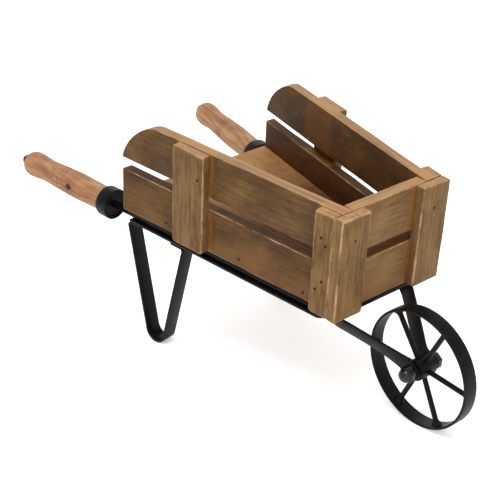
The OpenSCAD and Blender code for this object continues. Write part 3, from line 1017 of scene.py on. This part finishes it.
for side, label, gripWood in ((1, "left", gripWoodLeft), (-1, "right", gripWoodRight)):
    handle = turned("handle_" + label, gripOutline(), grip["sides"])
    roughen(handle, 0.35)
    shadeRound(handle, 40)
    spots = [v.co for v in handle.data.vertices]
    middle = (ferruleEnd + grip["grainFrom"]) * mm
    layer(handle.data, "grain", [(co.z - middle, co.x, side * co.y) for co in spots])
    backs = [co.z / mm - ferruleEnd for co in spots]
    inGroove = [float(min(abs(back - g) for g in grip["grooves"]) < 0.5) for back in backs]
    layer(handle.data, "groove", inGroove)
    handle.name = "grip" + label.title()
    done(settle(handle, gripPlace(side)), "frame", ["handle_" + label], gripWood)

    radius = grip["ferruleRadius"]
    front = grip["ferruleBack"]
    cup = turnedRing(
        "ferrule",
        [
            (4.6, front + 3), (radius - 3.4, front + 3), (radius - 3, front + 2.4), (radius - 3, front + 0.5),
            (radius - 2.5, front), (radius - 0.7, front), (radius, front + 0.7),
            (radius, ferruleEnd - 3), (radius - 0.7, ferruleEnd - 1), (radius - 2.5, ferruleEnd),
            (15.2, ferruleEnd), (14.6, ferruleEnd - 0.8), (14.4, front + 6.4), (4.6, front + 6.4),
        ],
        64,
    )
    roughen(cup, 0.3, fineLumps)
    shadeRound(cup, 40)
    cup.name = "ferrule" + label.title()
    done(settle(cup, gripPlace(side)), "frame", ["ferrule_" + label], blackIron)

    half = grip["rod"] / 2
    reach = sideLength - (grip["leftForward"] if side > 0 else 0)
    rod = turned(
        "rod",
        [
            (half - 0.5, 24 - reach), (half, 24.5 - reach), (half, front + 5.4),
            (half - 0.4, front + 5.9), (3, front + 6), (3, gripEnd + 0.6), (2.4, gripEnd + 1),
        ],
        24,
    )
    shadeRound(rod, 40)
    rod.name = "rod" + label.title()
    done(settle(rod, gripPlace(side)), "frame", ["rod_" + label], blackIron)

def ballOutline(radius, middle):
    # most of a ball, from where it meets the grip to its far end
    turns = [math.radians(a) for a in range(47, 178, 10)]
    return [(radius * math.sin(a), middle - radius * math.cos(a)) for a in turns]


nuts = []
for side in (1, -1):
    nut = turned("nut", ballOutline(grip["nut"], gripEnd + grip["nutOut"]), 24)
    shadeRound(nut, 60)
    nuts.append(settle(nut, gripPlace(side)))
done(joined(nuts, "handleNuts"), "frame", ["handle_nuts"], boltIron)
print("grips turned")

# bent strap iron

def fromCad(node, name, edge):
    # the designed shape as a clean mesh with its arrises broken
    source = frame["nodes"][node]
    piece = bpy.data.objects.new(name, source.data.copy())
    bpy.context.collection.objects.link(piece)
    openMesh(piece)
    bpy.ops.mesh.select_all(action="SELECT")
    bpy.ops.mesh.remove_doubles(threshold=0.00002)
    bpy.ops.mesh.dissolve_limited(angle_limit=math.radians(0.6))
    closeMesh()
    softEdges(piece, edge, 2, 50)
    shadeRound(piece, 32)
    return piece


for node in ("strap_left", "strap_right", "leg_left", "leg_right", "front_cross_bar", "rear_cross_bar"):
    words = node.split("_")
    title = words[0] + "".join(w.title() for w in words[1:])
    bar = fromCad(node, title, 0.45)
    done(bar, "frame", [node], blackIron)
print("strap iron bent")

# wheel

wheel = {
    "radius": 70,
    "width": 18,
    "rim": 3,
    "spokes": (1.5, 67, 129, 187, 248, 298.5),       # set one by one, so not quite evenly spaced
    "spoke": 3,
    "hubRadius": 12,
    "hubWidth": 24,
    "bore": 5.06,
    "weldShape": [                                   # radius, distance short of the rim
        (3.1, 5.6), (3.5, 4.2), (4.2, 2.8), (5.2, 1.5), (6, 0.6), (6, 0.35),
    ],
}
wheelPlace = place @ Matrix.Translation(Vector(crate["axleAt"]) * mm)
acrossWheel = wheelPlace @ Matrix.Rotation(math.radians(-90), 4, "X")     # Z runs to the left

outerR, innerR, halfW = wheel["radius"], wheel["radius"] - wheel["rim"], wheel["width"] / 2
rim = turnedRing(
    "wheelRim",
    [
        (outerR - 0.6, -halfW), (outerR - 0.15, -halfW + 0.4), (outerR, -halfW + 1.2),
        (outerR, 0), (outerR, halfW - 1.2), (outerR - 0.15, halfW - 0.4), (outerR - 0.6, halfW),
        (innerR + 0.6, halfW), (innerR + 0.1, halfW - 0.4), (innerR, halfW - 1), (innerR, 0),
        (innerR, -halfW + 1), (innerR + 0.1, -halfW + 0.4), (innerR + 0.6, -halfW),
    ],
    144,
)
shadeRound(rim, 40)
done(settle(rim, acrossWheel), "wheel", ["wheel_rim"], blackIron)

hubR, hubHalf, bore = wheel["hubRadius"], wheel["hubWidth"] / 2, wheel["bore"]
hub = turnedRing(
    "wheelHub",
    [
        (bore, -hubHalf), (hubR - 1, -hubHalf), (hubR - 0.3, -hubHalf + 0.3), (hubR, -hubHalf + 1),
        (hubR, hubHalf - 1), (hubR - 0.3, hubHalf - 0.3), (hubR - 1, hubHalf), (bore, hubHalf),
    ],
    64,
)
shadeRound(hub, 40)
done(settle(hub, acrossWheel), "wheel", ["wheel_hub"], blackIron)

spokes = []
welds = []
for turn in wheel["spokes"]:
    angle = math.radians(turn)
    outwards = wheelPlace @ Matrix.Rotation(-angle, 4, "Y") @ Matrix.Rotation(math.radians(90), 4, "Y")
    radius = wheel["spoke"]
    spoke = turned("spoke", [(radius, hubR - 0.3), (radius, 40), (radius, innerR - 0.2)], 24)
    shadeRound(spoke, 40)
    spokes.append(settle(spoke, outwards))
    weld = turned("weld", [(r, innerR - short) for r, short in wheel["weldShape"]], 24)
    roughen(weld, 1.2, fineLumps)
    shadeRound(weld, 60)
    welds.append(settle(weld, outwards))
done(joined(spokes, "wheelSpokes"), "wheel", ["wheel_spokes"], blackIron)
done(joined(welds, "spokeWelds"), "wheel", ["spoke_welds"], blackIron)
print("wheel built")

# axle

bolt = {
    "radius": 5,
    "headRadius": 9.8,
    "headHigh": 6.4,
    "nutRadius": 8.2,
    "nutHigh": 7,
    "outer": 16.6,
    "washer": 1.3,
    "washerRadius": 9.5,
    "washerBore": 5.15,
    "innerRadius": 8,
    "hub": 12,
}


def hexagon(name, radius, foot, top):
    # a six-sided head with its upper corners turned off
    letGo()
    bpy.ops.mesh.primitive_cylinder_add(
        vertices=6, radius=radius * mm, depth=(top - foot) * mm, location=(0, 0, (foot + top) / 2 * mm)
    )
    piece = bpy.context.object
    piece.name = name
    fix(piece)
    grab(piece, lambda centre, normal: normal.z > 0.9, "FACE")
    bpy.ops.mesh.inset(thickness=radius * 0.1 * mm)
    bpy.ops.transform.translate(value=(0, 0, radius * 0.07 * mm))
    closeMesh()
    softEdges(piece, 0.35, 2, 20)
    shadeRound(piece, 30)
    return piece


start = bolt["outer"] + bolt["washer"] + 0.1
head = hexagon("boltHead", bolt["headRadius"], start, start + bolt["headHigh"] - 0.8)
shank = turned("shank", [(4.4, -start - 6), (bolt["radius"], -start - 5.4), (bolt["radius"], start)], 32)
shadeRound(shank, 40)
axleBolt = joined([head, shank], "axleBolt")
done(settle(axleBolt, acrossWheel), "frame", ["axle_bolt"], boltIron)

nutFoot = start + bolt["nutHigh"]
base = hexagon("nutBase", bolt["headRadius"], start, nutFoot)
domeR, domeFoot = bolt["nutRadius"], nutFoot - 0.6
rises = [math.radians(a) for a in range(0, 86, 6)]
domeOutline = [(domeR * math.cos(a), domeFoot + domeR * math.sin(a)) for a in rises]
dome = turned("dome", domeOutline + [(0.25, domeFoot + domeR)], 40)
shadeRound(dome, 60)
axleNut = joined([base, dome], "axleNut")
toRight = acrossWheel @ Matrix.Rotation(math.radians(180), 4, "X")
done(settle(axleNut, toRight), "frame", ["axle_nut"], boltIron)

washers = []
for radius, middle in (
    (bolt["innerRadius"], bolt["hub"] + 0.1 + bolt["washer"] / 2),
    (bolt["washerRadius"], bolt["outer"] - 0.05 + bolt["washer"] / 2),
):
    for side in (1, -1):
        near = side * middle - bolt["washer"] / 2
        far = near + bolt["washer"]
        washer = turnedRing(
            "washer",
            [
                (bolt["washerBore"], near), (radius - 0.3, near), (radius, near + 0.3),
                (radius, far - 0.3), (radius - 0.3, far), (bolt["washerBore"], far),
            ],
            48,
        )
        shadeRound(washer, 40)
        washers.append(settle(washer, acrossWheel))
done(joined(washers, "axleWashers"), "frame", ["axle_washers"], blackIron)
print("axle bolted up")

# camera

view = {
    "azimuth": 48.84,
    "height": 31.67,
    "roll": 2.71,
    "distance": 1216.4,
    "target": (-48.9, -148.5, 90.0),                 # in the crate's own frame
    "lens": 86.22,
    "shift": (-0.0004, -0.004),
}
azimuth, height, roll = (math.radians(view[k]) for k in ("azimuth", "height", "roll"))
back = Vector((
    math.sin(azimuth) * math.cos(height), -math.cos(azimuth) * math.cos(height), math.sin(height),
))
right = up.cross(back).normalized()
over = back.cross(right)
right, over = (
    right * math.cos(roll) + over * math.sin(roll),
    over * math.cos(roll) - right * math.sin(roll),
)
stand = Vector(view["target"]) * mm + back * view["distance"] * mm
pose = Matrix((right, over, back)).transposed().to_4x4()
pose.translation = stand
camera = bpy.data.objects.new("camera", bpy.data.cameras.new("camera"))
bpy.context.collection.objects.link(camera)
camera.matrix_world = place @ pose
camera.data.lens = view["lens"]
camera.data.sensor_width = 36
camera.data.shift_x, camera.data.shift_y = view["shift"]
camera.data.clip_end = 50
scene.camera = camera

# floor and light

studio = {
    "sky": 0.98,
    "floorGlow": 0.34,                               # the lit table under the object
    "lamps": {                                       # place, height aimed at, size, power
        "keyLight": ((0.5, -0.5, 1.8), 0.1, 0.9, 16),
        "fillLight": ((1.7, -0.9, 0.8), 0.12, 1.2, 4),
        "backLight": ((-1.4, 1.1, 1.2), 0.12, 1.0, 4),
    },
}
white = (1, 1, 1, 1)
letGo()
bpy.ops.mesh.primitive_plane_add(size=14, location=(0, 0, 0))
ground = bpy.context.object
ground.name = "ground"
paleFloor = Finish("paleFloor")
speck = paleFloor.noise(paleFloor.spot(), 3, 2.0)
pale = paleFloor.mix(speck, (0.93, 0.93, 0.93, 1), (0.96, 0.96, 0.96, 1))
ground.data.materials.append(paleFloor.wear(
    Base_Color=pale, Roughness=0.9, Emission_Color=white, Emission_Strength=studio["floorGlow"]
))

world = bpy.data.worlds.new("studio")
world.use_nodes = True
background = world.node_tree.nodes["Background"]
background.inputs["Color"].default_value = white
background.inputs["Strength"].default_value = studio["sky"]
scene.world = world


def softbox(name, spot, aimHigh, size, power):
    lamp = bpy.data.objects.new(name, bpy.data.lights.new(name, "AREA"))
    bpy.context.collection.objects.link(lamp)
    lamp.location = spot
    way = Vector((0, 0, aimHigh)) - Vector(spot)
    lamp.rotation_euler = way.to_track_quat("-Z", "Y").to_euler()
    lamp.data.shape = "DISK"
    lamp.data.size = size
    lamp.data.energy = power


for name, settings in studio["lamps"].items():
    softbox(name, *settings)

print("light and camera set")
